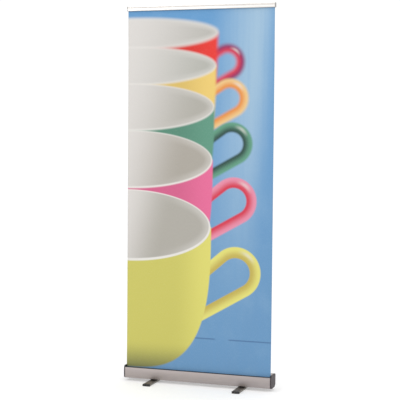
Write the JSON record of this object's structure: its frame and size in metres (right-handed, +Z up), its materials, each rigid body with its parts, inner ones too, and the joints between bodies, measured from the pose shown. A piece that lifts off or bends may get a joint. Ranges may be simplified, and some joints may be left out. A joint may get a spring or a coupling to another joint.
{
  "type": "roll-up banner stand",
  "caption": "Roll-up banner stand with a floor housing, swing-out feet, a telescopic pole, a snap top rail and a tall printed banner.",
  "frame": {"origin": "on the floor, below the middle of the housing", "axes": "+X along the width of the banner to its right as seen from the front, -Y towards the front where the print faces, +Z up"},
  "size_m": [0.868, 0.3, 2.119],
  "materials": {
    "brushed_aluminium": "brushed along its length, satin",
    "grey_plastic": "fine moulded texture",
    "light_grey_plastic": "fine moulded texture",
    "black_plastic": "moulded, satin",
    "black_felt": "short pile",
    "zinc_steel": "zinc plated",
    "spring_steel": "drawn wire",
    "mill_aluminium": "extruded, mill finish",
    "leader_film": "smooth film",
    "printed_fabric": "fine weave with a printed picture",
    "anodised_tube": "satin anodised",
    "bright_aluminium": "bright anodised",
    "grip_rubber": "matt",
    "foot_aluminium": "ribbed extrusion, satin",
    "foot_rubber": "moulded, matt"
  },
  "bodies": {
    "base": {"base_housing": "brushed_aluminium", "end_plate_left": "black_plastic", "end_plate_right": "black_plastic", "end_cover_left": "grey_plastic", "end_cover_right": "grey_plastic", "end_plate_screws": "zinc_steel", "slot_trim_front": "black_plastic", "slot_trim_rear": "black_felt", "roller_axle": "zinc_steel", "roller_spring": "spring_steel", "banner": "printed_fabric", "pole_socket": "black_plastic", "pole_lower": "anodised_tube", "pole_lower_plug": "black_plastic", "foot_spacers": "black_plastic", "pivot_bolts": "zinc_steel", "pivot_washers": "zinc_steel", "pivot_nuts": "zinc_steel"},
    "roller": {"roller_tube": "mill_aluminium", "roller_plug_left": "black_plastic", "roller_plug_right": "black_plastic", "leader_wrap": "leader_film"},
    "pole_mid": {"pole_middle": "anodised_tube", "pole_middle_bush": "black_plastic"},
    "pole_top": {"pole_upper": "anodised_tube", "pole_upper_bush": "black_plastic", "pole_hook": "black_plastic", "rail_back": "bright_aluminium", "rail_grip": "grip_rubber", "rail_cap_left": "light_grey_plastic", "rail_cap_right": "light_grey_plastic"},
    "rail_flap": {"rail_front": "bright_aluminium"},
    "lower_lock": {"lock_lower": "black_plastic"},
    "upper_lock": {"lock_upper": "black_plastic"},
    "left_foot": {"foot_left": "foot_aluminium", "foot_cap_left_front": "foot_rubber", "foot_cap_left_rear": "foot_rubber"},
    "right_foot": {"foot_right": "foot_aluminium", "foot_cap_right_front": "foot_rubber", "foot_cap_right_rear": "foot_rubber"}
  },
  "joints": [
    {"name": "rail_slide", "type": "slide", "parent": "base", "child": "pole_top", "axis": [0, 0, -1], "range_m": [0, 1.2], "deforming": ["banner"]},
    {"name": "pole_middle_slide", "type": "slide", "parent": "base", "child": "pole_mid", "axis": [0, 0, -1], "range_m": [0, 0.6]},
    {"name": "roller_spin", "type": "hinge", "parent": "base", "child": "roller", "pos_m": [0, -0.01052, 0.052], "axis": [1, 0, 0], "range_deg": [0, 4401]},
    {"name": "rail_flap_hinge", "type": "hinge", "parent": "pole_top", "child": "rail_flap", "pos_m": [0, -0.03, 2.1138], "axis": [-1, 0, 0], "range_deg": [0, 45]},
    {"name": "lower_lock_twist", "type": "hinge", "parent": "base", "child": "lower_lock", "pos_m": [0, 0.021, 0.76], "axis": [0, 0, 1], "range_deg": [0, 90]},
    {"name": "upper_lock_twist", "type": "hinge", "parent": "pole_mid", "child": "upper_lock", "pos_m": [0, 0.021, 1.43], "axis": [0, 0, 1], "range_deg": [0, 90]},
    {"name": "left_foot_swing", "type": "hinge", "parent": "base", "child": "left_foot", "pos_m": [-0.26, 0, 0.006], "axis": [0, 0, 1], "range_deg": [0, 90]},
    {"name": "right_foot_swing", "type": "hinge", "parent": "base", "child": "right_foot", "pos_m": [0.26, 0, 0.006], "axis": [0, 0, -1], "range_deg": [0, 90]}
  ],
  "couplings": [
    {"joint": "pole_middle_slide", "follows": "rail_slide", "ratio": 0.5},
    {"joint": "roller_spin", "follows": "rail_slide", "rad_per_m": 64}
  ]
}
